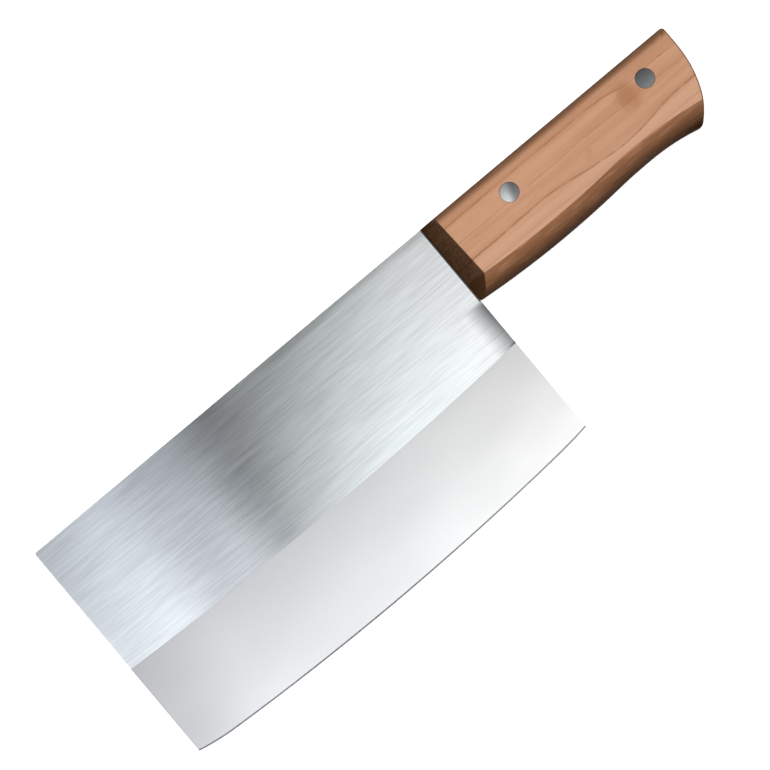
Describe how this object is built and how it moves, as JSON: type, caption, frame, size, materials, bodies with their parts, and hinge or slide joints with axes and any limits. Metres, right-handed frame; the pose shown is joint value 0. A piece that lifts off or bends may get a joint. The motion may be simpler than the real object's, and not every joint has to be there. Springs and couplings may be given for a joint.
{
  "type": "chinese cleaver",
  "caption": "Broad-bladed kitchen cleaver with a brushed steel blade, a half-height tang and a riveted, bevelled wooden handle.",
  "frame": {"origin": "middle of the knife's length and height, on the surface that the handle's side lies on", "axes": "+X from the blade's tip to the handle's butt, +Y from the cutting edge to the spine, +Z through the thickness"},
  "size_m": [0.2836, 0.0935, 0.02],
  "materials": {
    "blade_steel": "brushed along the blade, with a smooth satin bevel",
    "handle_wood": "fine straight grain under a thin lacquer, dark on the end grain",
    "rivet_steel": "polished"
  },
  "bodies": {
    "root": {"blade": "blade_steel", "handle": "handle_wood", "front_rivet_post": "rivet_steel", "front_rivet_cap": "rivet_steel", "rear_rivet_post": "rivet_steel", "rear_rivet_cap": "rivet_steel"}
  },
  "joints": []
}
